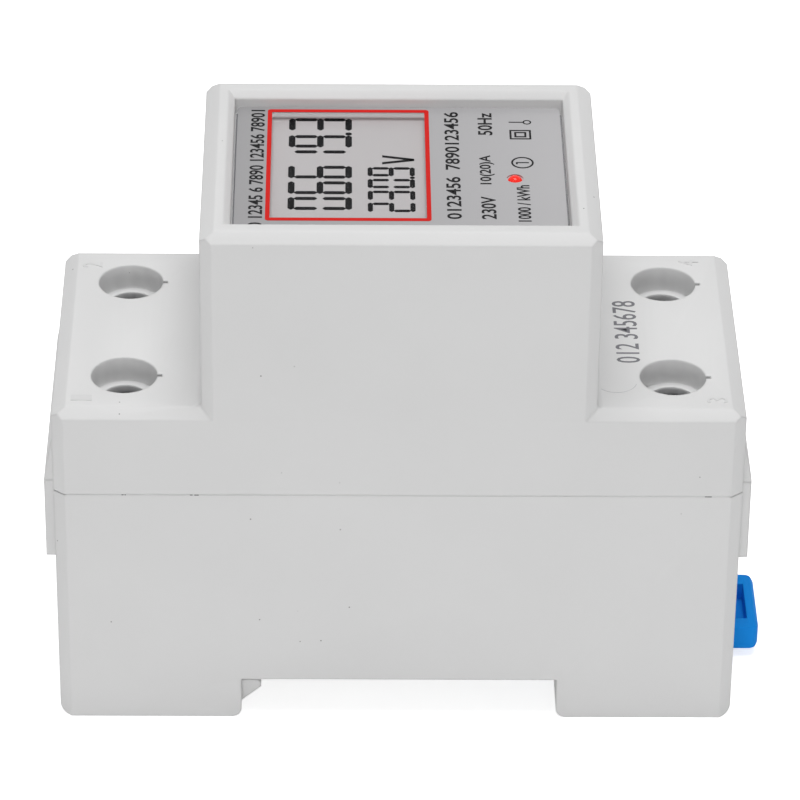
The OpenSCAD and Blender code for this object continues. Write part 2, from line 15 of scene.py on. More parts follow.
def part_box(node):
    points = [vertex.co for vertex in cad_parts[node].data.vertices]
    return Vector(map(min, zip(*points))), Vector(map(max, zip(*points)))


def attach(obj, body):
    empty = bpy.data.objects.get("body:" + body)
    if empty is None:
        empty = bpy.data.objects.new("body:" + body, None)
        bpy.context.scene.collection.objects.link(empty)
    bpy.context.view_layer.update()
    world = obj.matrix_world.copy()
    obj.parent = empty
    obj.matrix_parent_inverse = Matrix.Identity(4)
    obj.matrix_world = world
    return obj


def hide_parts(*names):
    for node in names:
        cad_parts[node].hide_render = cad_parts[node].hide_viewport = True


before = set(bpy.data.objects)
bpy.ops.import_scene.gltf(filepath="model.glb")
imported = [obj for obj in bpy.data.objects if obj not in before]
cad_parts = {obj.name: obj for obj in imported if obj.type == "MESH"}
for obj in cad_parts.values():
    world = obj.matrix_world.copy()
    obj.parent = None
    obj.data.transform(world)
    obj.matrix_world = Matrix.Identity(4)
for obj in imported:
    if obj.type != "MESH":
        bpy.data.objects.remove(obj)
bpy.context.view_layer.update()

bl_info = {
    "name": "Rail energy meter looks",
    "version": (1, 0, 0),
    "blender": (4, 5, 0),
    "location": "3D View > Sidebar > Meter",
    "description": "Dresses the packed rail energy meter with finishes, print, display digits and a studio",
    "category": "Object",
}

MM = 0.001
PLATE_LOW, PLATE_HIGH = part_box("nameplate")
CELL_LOW, CELL_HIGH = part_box("display_cell")
COVER_LOW, COVER_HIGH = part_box("cover_shell")
SCREW_NODES = [f"terminal_screw_{k}" for k in range(1, 5)]
CAGE_NODES = [f"terminal_cage_{k}" for k in range(1, 5)]
PRINT_T = 0.02 * MM
# Height of the display's front film over the window's underside
FRONT_FILM = 0.03 * MM
# Axis and inset from the base's box of the walls of its seam groove: end faces, entry blocks, side faces
SEAM_WALLS = ((0, 0.25 * MM), (0, 1.45 * MM), (1, 0.25 * MM), (1, 3.25 * MM))


# ---------------------------------------------------------------- settings


class MeterSizes(bpy.types.PropertyGroup):
    """Sizes of the print, the digits and the soft edges"""

    edge: bpy.props.FloatProperty(
        name="Moulded edge", description="Radius of the moulding's edges", default=0.4 * MM,
        min=0.05 * MM, max=0.5 * MM, unit="LENGTH", precision=5)
    shoulder: bpy.props.FloatProperty(
        name="Shoulder height", description="Height of the shoulder tops over the feet", default=42.8 * MM,
        unit="LENGTH", precision=4)
    groove: bpy.props.FloatProperty(
        name="Seam groove", description="Depth that shows of the groove along the seam", default=0.02 * MM,
        min=0.01 * MM, max=0.24 * MM, unit="LENGTH", precision=5)
    digit_height: bpy.props.FloatProperty(
        name="Big digit height", description="Height of the digits in the first row", default=7.3 * MM,
        unit="LENGTH", precision=4)
    digit_width: bpy.props.FloatProperty(
        name="Big digit width", description="Width of the digits in the first row", default=2.9 * MM,
        unit="LENGTH", precision=4)
    digit_pitch: bpy.props.FloatProperty(
        name="Big digit pitch", description="Distance of the digits in the first row", default=3.55 * MM,
        unit="LENGTH", precision=4)
    reading: bpy.props.StringProperty(
        name="Reading", description="Digits of the first row, with a dot before the last", default="06619.3")
    volts: bpy.props.StringProperty(
        name="Second row", description="Digits of the second row, with a dot before the last", default="230.9")


class MeterColours(bpy.types.PropertyGroup):
    """Colours of the finishes, as sRGB hex values"""

    housing: bpy.props.StringProperty(name="Housing", description="Light grey moulding", default="#DCDCDC")
    clip: bpy.props.StringProperty(name="Clip", description="Blue moulding", default="#1A90EC")
    plate: bpy.props.StringProperty(name="Nameplate", description="Silver-grey film", default="#B4B3B5")
    display: bpy.props.StringProperty(name="Display", description="Grey of the display's ground", default="#B8B5B6")
    frame_print: bpy.props.StringProperty(name="Border", description="Red print", default="#D01811")
    ink: bpy.props.StringProperty(name="Ink", description="Dark print", default="#0B0B0D")


# ---------------------------------------------------------------- shapes


def linear(code):
    """Linear colour of an sRGB hex value: below 0.04045 divided by 12.92, above it the 2.4 power curve."""
    srgb = np.array([int(code[i:i + 2], 16) for i in (1, 3, 5)]) / 255
    return tuple(np.where(srgb <= 0.04045, srgb / 12.92, ((srgb + 0.055) / 1.055) ** 2.4)) + (1.0,)


def piece(name, verts, faces, material, body="housing", slot=None, smooth=False):
    """Makes one mesh object of the vertices (n by 3) and faces, with a material, riding on a body."""
    mesh = bpy.data.meshes.new(name)
    mesh.from_pydata(np.asarray(verts).tolist(), [], [list(map(int, f)) for f in faces])
    mesh.validate()
    obj = bpy.data.objects.new(name, mesh)
    bpy.context.scene.collection.objects.link(obj)
    mesh.materials.append(material)
    if smooth:
        mesh.shade_smooth()
    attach(obj, body)
    return obj


def prisms(outlines, low, high):
    """Upright prisms: each outline (n by 2, counter-clockwise) is repeated at the low and the high level,
    a side face joins each edge to the same edge one level up, and two caps close it."""
    verts, faces, start = [], [], 0
    for outline in outlines:
        outline = np.asarray(outline, float)
        n = len(outline)
        verts.append(np.column_stack([outline, np.full(n, low)]))
        verts.append(np.column_stack([outline, np.full(n, high)]))
        i = np.arange(n)
        j = (i + 1) % n
        faces += (start + np.column_stack([i, j, j + n, i + n])).tolist()
        faces += [(start + i[::-1]).tolist(), (start + n + i).tolist()]
        start += 2 * n
    return np.vstack(verts), faces


def round_outline(half_x, half_y, radius, steps=8):
    """Rectangle with round corners: each corner's centre plus the radius times the unit circle over its quarter."""
    turn = np.linspace(0, math.pi / 2, steps)
    parts = []
    for q, (sx, sy) in enumerate(((1, 1), (-1, 1), (-1, -1), (1, -1))):
        a = turn + q * math.pi / 2
        centre = np.array([sx * (half_x - radius), sy * (half_y - radius)])
        parts.append(centre + radius * np.column_stack([np.cos(a), np.sin(a)]))
    return np.vstack(parts)


def band(outer, inner, low, high):
    """Closed band between two outlines of equal length: the four rings outer low, outer high, inner high
    and inner low are joined in a circle, ring by ring."""
    n = len(outer)
    rings = [(outer, low), (outer, high), (inner, high), (inner, low)]
    verts = np.vstack([np.column_stack([r, np.full(n, z)]) for r, z in rings])
    i = np.arange(n)
    j = (i + 1) % n
    faces = []
    for k in range(4):
        a, b = k * n, (k + 1) % 4 * n
        faces += np.column_stack([a + i, a + j, b + j, b + i]).tolist()
    return verts, faces


def to_plate(points):
    """Turns text coordinates (right, up) into X and Y: up is -X and right is +Y."""
    points = np.asarray(points, float)
    return np.column_stack([-points[:, 1], points[:, 0]])


def segment_outlines(digit, width, height, thick, thin):
    """Outlines of the lit segments of a seven-segment digit in text coordinates about the digit's middle.
    A segment is a bar with blunt points: half a length, half a thickness, and ends that narrow at 45 degrees.
    The lying ones are thick and the standing ones thin, as they show on the real display."""
    lit = {"0": "abcdef", "1": "bc", "2": "abged", "3": "abgcd", "4": "fgbc", "5": "afgcd",
           "6": "afgedc", "7": "abc", "8": "abcdefg", "9": "abcdfg"}[digit]
    side, top = width / 2 - thin / 2, height / 2 - thick / 2
    lying = width / 2 - 0.1 * thick
    standing = top / 2 - 0.42 * thick
    place = {"a": (0, top), "g": (0, 0), "d": (0, -top), "f": (-side, top / 2), "b": (side, top / 2),
             "e": (-side, -top / 2), "c": (side, -top / 2)}
    outlines = []
    for name in lit:
        flat = name in "agd"
        half, half_t = (lying, thick / 2) if flat else (standing, thin / 2)
        cut, end = 0.8 * half_t, 0.2 * half_t
        bar = np.array([(-half, -end), (cut - half, -half_t), (half - cut, -half_t), (half, -end),
                        (half, end), (half - cut, half_t), (cut - half, half_t), (-half, end)])
        outlines.append((bar if flat else bar[:, ::-1] * (-1, 1)) + place[name])
    return outlines


def lettering(name, words, height, right_from, right_to, top, level, material, depth=PRINT_T, weight=0.0):
    """Line of print as a closed mesh, turned so that it runs along +Y with its top towards -X. The letters are
    scaled to the height and to the stretch from right_from to right_to; top is the X of the letters' tops."""
    curve = bpy.data.curves.new(name, "FONT")
    curve.body = words
    curve.extrude = 0.5
    curve.offset = weight
    curve.resolution_u = 3
    text = bpy.data.objects.new(name, curve)
    bpy.context.scene.collection.objects.link(text)
    bpy.context.view_layer.update()
    mesh = bpy.data.meshes.new_from_object(text.evaluated_get(bpy.context.evaluated_depsgraph_get()))
    bpy.data.objects.remove(text)
    co = np.zeros(len(mesh.vertices) * 3)
    mesh.vertices.foreach_get("co", co)
    co = co.reshape(-1, 3)
    low, high = co.min(0), co.max(0)
    share = (co - low) / (high - low)
    flat = np.column_stack([top + height * (1 - share[:, 1]), right_from + (right_to - right_from) * share[:, 0]])
    mesh.vertices.foreach_set("co", np.column_stack([flat, level + depth * share[:, 2]]).ravel())
    mesh.name = name
    mesh.materials.clear()
    mesh.materials.append(material)
    obj = bpy.data.objects.new(name, mesh)
    bpy.context.scene.collection.objects.link(obj)
    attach(obj, "housing")
    return obj


def dressed(node, body, material, width, segments=3, angle=32, groove=0.0):
    """Copy of a CAD node whose loose triangles are merged and whose edges are rounded, shown in its place. With a
    groove depth, the walls of the seam groove move out, so that it is only that deep."""
    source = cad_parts[node]
    mesh = source.data.copy()
    mesh.name = node + "_skin"
    soft = bmesh.new()
    soft.from_mesh(mesh)
    bmesh.ops.remove_doubles(soft, verts=soft.verts, dist=1e-6)
    bmesh.ops.dissolve_limit(soft, angle_limit=math.radians(1.0), verts=soft.verts, edges=soft.edges)
    if groove:
        low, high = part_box(node)
        for vert in soft.verts:
            for axis, inset in SEAM_WALLS:
                if vert.co.z > high.z - 0.3 * MM and abs(high[axis] - inset - abs(vert.co[axis])) < 0.01 * MM:
                    vert.co[axis] += math.copysign(0.25 * MM - groove, vert.co[axis])
    soft.to_mesh(mesh)
    soft.free()
    mesh.materials.clear()
    mesh.materials.append(material)
    obj = bpy.data.objects.new(node + "_skin", mesh)
    bpy.context.scene.collection.objects.link(obj)
    mesh.shade_smooth()
    bevel = obj.modifiers.new("Soft edges", "BEVEL")
    bevel.width = width
    bevel.segments = segments
    bevel.limit_method = "ANGLE"
    bevel.angle_limit = math.radians(angle)
    bevel.use_clamp_overlap = True
    bevel.harden_normals = True
    bevel.miter_outer = "MITER_ARC"
    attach(obj, body)
    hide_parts(node)
    return obj


# ---------------------------------------------------------------- materials


def add(tree, kind, links=(), values=None, **settings):
    """Adds a node of the kind, sets its properties and input values, and links (input, node, output)."""
    node = tree.nodes.new(kind)
    for key, value in settings.items():
        setattr(node, key, value)
    for key, value in (values or {}).items():
        node.inputs[key].default_value = value
    for name, other, output in links:
        tree.links.new(other.outputs[output], node.inputs[name])
    return node


def shader(name, code, rough=0.5, **settings):
    """New material with one Principled shader, its colour given as an sRGB hex value."""
    material = bpy.data.materials.new(name)
    material.use_nodes = True
    body = material.node_tree.nodes["Principled BSDF"]
    body.inputs["Base Color"].default_value = linear(code)
    body.inputs["Roughness"].default_value = rough
    for key, value in settings.items():
        body.inputs[key.replace("_", " ")].default_value = value
    return material, material.node_tree, body


def eroded_plastic(name, code, rough, grain, height, soft, specks=0.0, **settings):
    """Moulded plastic from a spark-eroded tool: a fine matt grain, soft unevenness of colour, edges that catch the
    light over a soft radius, rare dark specks."""
    material, tree, body = shader(name, code, rough, **settings)
    place = add(tree, "ShaderNodeTexCoord")
    fine = add(tree, "ShaderNodeTexNoise", [("Vector", place, "Object")],
               {"Scale": 1 / grain, "Detail": 4.0, "Roughness": 0.6})
    broad = add(tree, "ShaderNodeTexNoise", [("Vector", place, "Object")], {"Scale": 60.0, "Detail": 3.0})
    tone = add(tree, "ShaderNodeMapRange", [("Value", broad, "Fac")], {"To Min": 0.965, "To Max": 1.02})
    last = add(tree, "ShaderNodeHueSaturation", [("Value", tone, "Result")], {"Color": linear(code)})
    if specks:
        cells = add(tree, "ShaderNodeTexVoronoi", [("Vector", place, "Object")], {"Scale": 1 / (3.4 * MM)})
        near = add(tree, "ShaderNodeMapRange", [("Value", cells, "Distance")],
                   {"From Min": 0.018, "From Max": 0.032, "To Min": specks, "To Max": 0.0})
        rare = add(tree, "ShaderNodeSeparateColor", [("Color", cells, "Color")])
        pick = add(tree, "ShaderNodeMath", [(0, rare, "Red")], {1: 0.7}, operation="LESS_THAN")
        spot = add(tree, "ShaderNodeMath", [(0, near, "Result"), (1, pick, "Value")], operation="MULTIPLY")
        last = add(tree, "ShaderNodeMixRGB", [("Fac", spot, "Value"), ("Color1", last, "Color")],
                   {"Color2": linear("#4A4744")})
    tree.links.new(last.outputs["Color"], body.inputs["Base Color"])
    edge = add(tree, "ShaderNodeBevel", values={"Radius": soft}, samples=6)
    bump = add(tree, "ShaderNodeBump", [("Height", fine, "Fac"), ("Normal", edge, "Normal")],
               {"Strength": height, "Distance": 0.05 * MM})
    tree.links.new(bump.outputs["Normal"], body.inputs["Normal"])
    return material


def rolled_metal(name, code, rough, line):
    """Rolled or turned metal: metallic, with fine streaks that vary its roughness."""
    material, tree, body = shader(name, code, rough, Metallic=1.0)
    place = add(tree, "ShaderNodeTexCoord")
    stretch = add(tree, "ShaderNodeMapping", [("Vector", place, "Object")], {"Scale": (1 / line / 12, 1 / line, 1 / line)})
    streak = add(tree, "ShaderNodeTexNoise", [("Vector", stretch, "Vector")], {"Scale": 1.0, "Detail": 3.0})
    span = add(tree, "ShaderNodeMapRange", [("Value", streak, "Fac")], {"To Min": rough * 0.75, "To Max": rough * 1.3})
    tree.links.new(span.outputs["Result"], body.inputs["Roughness"])
    return material


def plain_finish(name, code, rough, grain=0.4 * MM, height=0.15, **settings):
    """Small part's finish: one colour with a slight cloudiness of its roughness and a faint relief."""
    material, tree, body = shader(name, code, rough, **settings)
    place = add(tree, "ShaderNodeTexCoord")
    cloud = add(tree, "ShaderNodeTexNoise", [("Vector", place, "Object")], {"Scale": 1 / grain, "Detail": 3.0})
    span = add(tree, "ShaderNodeMapRange", [("Value", cloud, "Fac")],
               {"To Min": rough * 0.85, "To Max": min(1.0, rough * 1.15)})
    tree.links.new(span.outputs["Result"], body.inputs["Roughness"])
    bump = add(tree, "ShaderNodeBump", [("Height", cloud, "Fac")], {"Strength": height, "Distance": 0.03 * MM})
    tree.links.new(bump.outputs["Normal"], body.inputs["Normal"])
    return material


def painted_shade_along_x(material, code, low, high, dark, pale):
    """Paints shade into a finish's colour: it grows from dark at X = low to pale at X = high, both shares of its full
    value.
    """
    tree = material.node_tree
    place = add(tree, "ShaderNodeTexCoord")
    split = add(tree, "ShaderNodeSeparateXYZ", [("Vector", place, "Object")])
    span = add(tree, "ShaderNodeMapRange", [("Value", split, "X")],
               {"From Min": low, "From Max": high, "To Min": dark, "To Max": pale})
    tone = add(tree, "ShaderNodeHueSaturation", [("Value", span, "Result")], {"Color": linear(code)})
    tree.links.new(tone.outputs["Color"], tree.nodes["Principled BSDF"].inputs["Base Color"])


def let_light_through(material):
    """Lets shadow and diffuse rays pass a thin or clear piece, so that what lies under it is lit as in the open."""
    tree = material.node_tree
    path = add(tree, "ShaderNodeLightPath")
    through = add(tree, "ShaderNodeBsdfTransparent")
    light = add(tree, "ShaderNodeMath", [(0, path, "Is Shadow Ray"), (1, path, "Is Diffuse Ray")], operation="MAXIMUM")
    mix = add(tree, "ShaderNodeMixShader",
              [(0, light, "Value"), (1, tree.nodes["Principled BSDF"], "BSDF"), (2, through, "BSDF")])
    tree.links.new(mix.outputs["Shader"], tree.nodes["Material Output"].inputs["Surface"])


def give(material, *nodes):
    """Puts a material on CAD nodes that are shown as they are."""
    for node in nodes:
        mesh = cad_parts[node].data
        mesh.materials.clear()
        mesh.materials.append(material)


# ---------------------------------------------------------------- operators


class METER_OT_housing(bpy.types.Operator):
    """Dress the base and the cover in light grey moulded plastic"""

    bl_idname = "meter.housing"
    bl_label = "Housing"

    def execute(self, context):
        sizes, colours = context.scene.meter_sizes, context.scene.meter_colours
        # Glass-filled polycarbonate, spark-eroded tool: matt, even, with a few dark specks of burnt resin
        skin = eroded_plastic("moulded_polycarbonate", colours.housing, 0.55, 0.35 * MM, 0.25, sizes.edge, specks=0.8)
        for node in ("base_shell", "cover_shell"):
            groove = sizes.groove if node == "base_shell" else 0.0
            dressed(node, "housing", skin, sizes.edge, groove=groove)
        return {"FINISHED"}


class METER_OT_clip(bpy.types.Operator):
    """Dress the rail clip in blue moulded plastic"""

    bl_idname = "meter.clip"
    bl_label = "Rail clip"

    def execute(self, context):
        # Acetal, moulded and slightly waxy: saturated, with a broad soft highlight
        blue = eroded_plastic("moulded_acetal", context.scene.meter_colours.clip, 0.6, 0.3 * MM, 0.15, 0.2 * MM,
                              Specular_IOR_Level=0.06)
        dressed("rail_clip", "clip", blue, 0.2 * MM)
        return {"FINISHED"}


class METER_OT_terminals(bpy.types.Operator):
    """Dress the terminal screws, their cages and the bars"""

    bl_idname = "meter.terminals"
    bl_label = "Terminals"

    def execute(self, context):
        # Steel, dark passivated: near black with soft reflections
        dark = rolled_metal("passivated_steel", "#4C4C52", 0.42, 0.08 * MM)
        # Steel, zinc plated: pale and cloudy
        zinc = rolled_metal("zinc_plated_steel", "#B9BBBE", 0.34, 0.1 * MM)
        # Copper, rolled: warm with streaks along the bar
        copper = rolled_metal("rolled_copper", "#D08A5C", 0.3, 0.1 * MM)
        # Copper-manganese alloy, rolled: brownish grey
        alloy = rolled_metal("rolled_manganin", "#9A9088", 0.35, 0.1 * MM)
        for k, node in enumerate(SCREW_NODES, 1):
            dressed(node, f"screw_{k}", dark, 0.12 * MM)
        for k, node in enumerate(CAGE_NODES, 1):
            dressed(node, f"cage_{k}", zinc, 0.18 * MM)
        give(copper, "live_bar_in", "live_bar_out", "neutral_bar")
        give(alloy, "shunt_strip")
        give(zinc, "sense_lead_in", "sense_lead_out", "neutral_lead", "board_screw_1", "board_screw_2")
        return {"FINISHED"}


class METER_OT_electronics(bpy.types.Operator):
    """Give the boards and their parts their finishes"""

    bl_idname = "meter.electronics"
    bl_label = "Electronics"

    def execute(self, context):
        # Glass-epoxy laminate under solder resist: glossy green
        give(plain_finish("solder_resist", "#2C6E3F", 0.3, 0.8 * MM), "main_board", "display_board")
        # Epoxy moulding compound: matt black
        give(plain_finish("epoxy_moulding", "#232326", 0.6), "metering_chip", "controller_chip")
        give(plain_finish("silicone_strip", "#2E2E30", 0.7), "contact_strip")
        give(plain_finish("polyester_case", "#C9A227", 0.35), "film_capacitor")
        give(plain_finish("shrink_sleeve", "#333A5A", 0.3), "storage_capacitor")
        give(plain_finish("dipped_epoxy", "#2F66A6", 0.35), "surge_disc")
        give(plain_finish("cement_coat", "#4D7D5B", 0.6), "mains_resistor")
        give(plain_finish("flat_cable_film", "#D6D6D4", 0.4), "display_ribbon")
        give(rolled_metal("drawn_can", "#C6C7CA", 0.25, 0.1 * MM), "clock_crystal")
        give(plain_finish("white_moulding", "#F2F1EE", 0.5), "display_tray")
        return {"FINISHED"}


class METER_OT_window(bpy.types.Operator):
    """Give the clear window, the nameplate film and the pulse lamp their finishes"""

    bl_idname = "meter.window"
    bl_label = "Window"

    def execute(self, context):
        colours = context.scene.meter_colours
        # Acrylic, coated against reflections: clear and colourless, with hardly a glint
        clear, tree, body = shader("coated_acrylic", "#FFFFFF", 0.02, IOR=1.03, Transmission_Weight=1.0)
        let_light_through(clear)
        give(clear, "window_lens")
        # Polyester film, printed silver-grey on its back: satin and slightly pearly
        film = plain_finish("printed_polyester_film", colours.plate, 0.38, 0.25 * MM, 0.1, Metallic=0.15)
        # Painted shade: the film is darker towards low X, where less light falls on the plate
        painted_shade_along_x(film, colours.plate, PLATE_LOW.x, PLATE_HIGH.x, 0.7, 0.98)
        let_light_through(film)
        give(film, "nameplate")
        # Epoxy lens, tinted red and glossy; its red emission is a painted glow that brightens it
        lamp, tree, body = shader("tinted_epoxy", "#D81A0C", 0.12, Specular_IOR_Level=0.3)
        body.inputs["Emission Color"].default_value = linear("#FF2A14")
        body.inputs["Emission Strength"].default_value = 0.35
        give(lamp, "pulse_lamp")
        # Display cell, reflective: flat pale grey with a slight sheen
        ground = plain_finish("reflective_display", colours.display, 0.4, 0.3 * MM, 0.05)
        give(ground, "display_cell")
        # Sunk in the window's underside: dark lines along its two ends, painted shade for the gap between the film's
        # edge and the window's edge, and between them the display's front film, which reaches the far edge, so that a
        # slanting look past the cell's end still meets the display's grey
        # Dark grey lines: painted shade of the gap round the film
        shade = plain_finish("gap_painted_shade", "#6E6E72", 0.7)
        low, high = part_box("window_lens")
        line, rim = 0.3 * MM, 0.02 * MM
        bottom, top = low.z + 0.01 * MM, low.z + FRONT_FILM
        sheet = round_outline((high.x - low.x) / 2 - line, (high.y - low.y) / 2 - rim, 0.1 * MM)
        bars = [np.array([(x, low.y + rim), (x + line - rim, low.y + rim), (x + line - rim, high.y - rim), (x, high.y - rim)])
                for x in (low.x + rim, high.x - line)]
        piece("window_gap_painted_shade", *prisms(bars, bottom, top), shade, slot="label_film")
        piece("display_front_film", *prisms([sheet], bottom, top), ground, slot="label_film")
        return {"FINISHED"}


class METER_OT_display(bpy.types.Operator):
    """Draw the digits of the display"""

    bl_idname = "meter.display"
    bl_label = "Display digits"

    def execute(self, context):
        sizes, colours = context.scene.meter_sizes, context.scene.meter_colours
        # Twisted liquid crystal between polarisers: flat, nearly black
        dark = plain_finish("liquid_crystal", colours.ink, 0.6, Specular_IOR_Level=0.1)
        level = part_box("window_lens")[0].z + FRONT_FILM
        outlines = []
        # Each row: its words, a digit's width, height and pitch, the middle of the first digit, the two bar widths and
        # the extra room after the dot
        rows = ((sizes.reading, sizes.digit_width, sizes.digit_height, sizes.digit_pitch, -6.15 * MM, 9.12 * MM,
                 0.76 * MM, 0.68 * MM, 0.42 * MM),
                (sizes.volts, 2.1 * MM, 5.4 * MM, 2.68 * MM, -6.95 * MM, 0.98 * MM, 0.58 * MM, 0.54 * MM, 0.0))
        for words, width, height, pitch, first, up, thick, thin, room in rows:
            right = first
            for sign in words:
                if sign == ".":
                    dot = right - pitch / 2
                    low = up - height / 2
                    round_dot = round_outline(thin / 2, thick / 2, thin / 2 - 0.01 * MM, 5)
                    outlines.append(to_plate(round_dot + [dot, low + thick / 2]))
                    right += room
                    continue
                for outline in segment_outlines(sign, width, height, thick, thin):
                    outlines.append(to_plate(outline + [right, up]))
                right += pitch
        # The unit's two strokes meet in a point at the foot
        foot, head, reach, half_t = -1.7 * MM, 2.0 * MM, 0.8 * MM, 0.24 * MM
        for side in (-1, 1):
            stroke = np.array([(-half_t, foot), (half_t, foot), (side * reach + half_t, head), (side * reach - half_t, head)])
            outlines.append(to_plate(stroke + [3.85 * MM, 0]))
        verts, faces = prisms(outlines, level, level + PRINT_T)
        piece("display_digits", verts, faces, dark, slot="display_glass")
        return {"FINISHED"}


class METER_OT_print(bpy.types.Operator):
    """Print the red border, the rows of figures and the marks on the nameplate"""

    bl_idname = "meter.plate_print"
    bl_label = "Nameplate print"

    def signs(self, level):
        """Ring with a one, double square and contact sign: bands between two outlines and short upright bars"""
        parts = []
        ring = np.array([14.05, 1.55]) * MM
        parts.append(band(round_outline(1.3 * MM, 1.3 * MM, 1.29 * MM) + ring,
                          round_outline(1.08 * MM, 1.08 * MM, 1.07 * MM) + ring, level, level + PRINT_T))
        square = np.array([14.0, 8.05]) * MM
        for outer, inner in ((1.25, 1.02), (0.7, 0.46)):
            parts.append(band(round_outline(outer * MM, 0.87 * outer * MM, 0.02 * MM, 2) + square,
                              round_outline(inner * MM, (0.87 * outer + inner - outer) * MM, 0.01 * MM, 2) + square,
                              level, level + PRINT_T))
        eye = np.array([14.85, 10.97]) * MM
        parts.append(band(round_outline(0.5 * MM, 0.5 * MM, 0.49 * MM) + eye,
                          round_outline(0.33 * MM, 0.33 * MM, 0.32 * MM) + eye, level, level + PRINT_T))
        bars = [np.array([(12.73, 10.88), (14.4, 10.88), (14.4, 11.06), (12.73, 11.06)]) * MM,
                np.array([(13.3, 1.46), (14.8, 1.46), (14.8, 1.66), (13.3, 1.66)]) * MM,
                np.array([(13.3, 1.2), (13.5, 1.2), (13.5, 1.5), (13.3, 1.5)]) * MM]
        parts.append(prisms(bars, level, level + PRINT_T))
        verts, faces, start = [], [], 0
        for points, polygons in parts:
            verts.append(points)
            faces += [[start + i for i in polygon] for polygon in polygons]
            start += len(points)
        return np.vstack(verts), faces

    def execute(self, context):
        colours = context.scene.meter_colours
        level = PLATE_HIGH.z
        # Screen-printed ink, red and opaque
        red = plain_finish("red_screen_print", colours.frame_print, 0.55, Specular_IOR_Level=0.15)
        # Screen-printed ink, black and matt
        ink = plain_finish("dark_screen_print", colours.ink, 0.6, Specular_IOR_Level=0.15)
        centre = np.array([-5.9 * MM, 1.03 * MM])
        outer = round_outline(9.36 * MM, 12.74 * MM, 0.4 * MM)
        inner = round_outline(8.85 * MM, 12.1 * MM, 0.12 * MM)
        verts, faces = band(outer + centre, inner + centre, level, level + PRINT_T)
        piece("border_print", verts, faces, red, slot="label_film")
        rows = (("heading_print", "0 12345 6 7890 123456 78901", 1.65, -13.2, 13.6, -17.2),
                ("code_print", "0123456  7890123456", 1.7, -11.2, 13.3, 5.2),
                ("volt_print", "230V", 1.7, -11.2, -6.2, 9.1),
                ("ampere_print", "10(20)A", 1.7, -3.4, 3.2, 9.1),
                ("hertz_print", "50Hz", 1.7, 7.9, 13.1, 9.1),
                ("rate_print", "1000 / kWh", 1.5, -11.7, -3.6, 13.2))
        for name, words, height, right_from, right_to, top in rows:
            lettering(name, words, height * MM, right_from * MM, right_to * MM, top * MM, level, ink, weight=0.014)
        piece("sign_print", *self.signs(level), ink, slot="label_film")
        return {"FINISHED"}


class METER_OT_marks(bpy.types.Operator):
    """Add the figures and the small moulded marks on the shoulders, the ejector ring as an arc of painted shade, and
    the dark spots and flash in the near face's seam, one spot painted shade of an open gap
    """

    bl_idname = "meter.marks"
    bl_label = "Small marks"

    def execute(self, context):
        top = context.scene.meter_sizes.shoulder
        # Marking ink, burnt into the moulding: dark grey and dull
        faded = plain_finish("marking_ink", "#7E7E82", 0.7, Specular_IOR_Level=0.15)
        lettering("serial_print", "012 345678", 2.75 * MM, -7.2 * MM, 6.4 * MM, 25.2 * MM, top, faded, weight=0.003)
        # The mould's own polycarbonate, polished by the tool: smoother than the grain round it
        sheen = plain_finish("polished_polycarbonate", "#D6D6D6", 0.35)
        # Mark of an ejector pin: only the near half of its ring is drawn, a dark arc of painted shade along the shaded
        # wall of its groove, and the other half is left out
        turn = np.linspace(1.08, 1.92, 30) * math.pi
        arc = np.column_stack([np.cos(turn), np.sin(turn)])
        pin = np.array([24.9, -11.2]) * MM
        outline = np.vstack([arc * 2.45 * MM, arc[::-1] * 2.37 * MM]) + pin
        verts, faces = prisms([outline], top, top + PRINT_T)
        piece("ejector_ring_painted_shade", verts, faces, plain_finish("ring_groove_painted_shade", "#C0C0C2", 0.6), slot="grey_housing")
        # Flash and dark spots in the seam of the near side, the spot at 35.2 to 36.0 mm being painted shade of an open
        # gap: start and end along X, and how far they stand out of the groove
        # Dark grey spots along the seam; the widest stands for the shade of an open gap
        dark_spots = plain_finish("seam_dark_spots", "#6A6A6C", 0.8)
        edge_y, seam = COVER_LOW.y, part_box("base_shell")[1].z
        for name, material, spots in (
                ("seam_spots_and_gap_shade", dark_spots, ((-31.75, -31.5), (-31.4, -31.25), (-23.9, -23.6), (-23.4, -22.9), (35.2, 36.0))),
                ("seam_flash", sheen, ((-29.7, -28.2),))):
            outlines = [np.array([(x0, 0.01), (x1, 0.01), (x1, 0.3), (x0, 0.3)]) * MM + [0, edge_y] for x0, x1 in spots]
            verts, faces = prisms(outlines, seam - 0.13 * MM, seam - 0.02 * MM)
            piece(name, verts, faces, material, slot="grey_housing")
        for number, x, y in (("1", -37.4, -15.7), ("2", -37.4, 13.6), ("3", 35.1, -15.7), ("4", 33.6, 14.6)):
            lettering("terminal_mark_" + number, number, 2.4 * MM, y * MM, (y + 1.1) * MM, x * MM, top, sheen,
                      0.08 * MM)
        return {"FINISHED"}


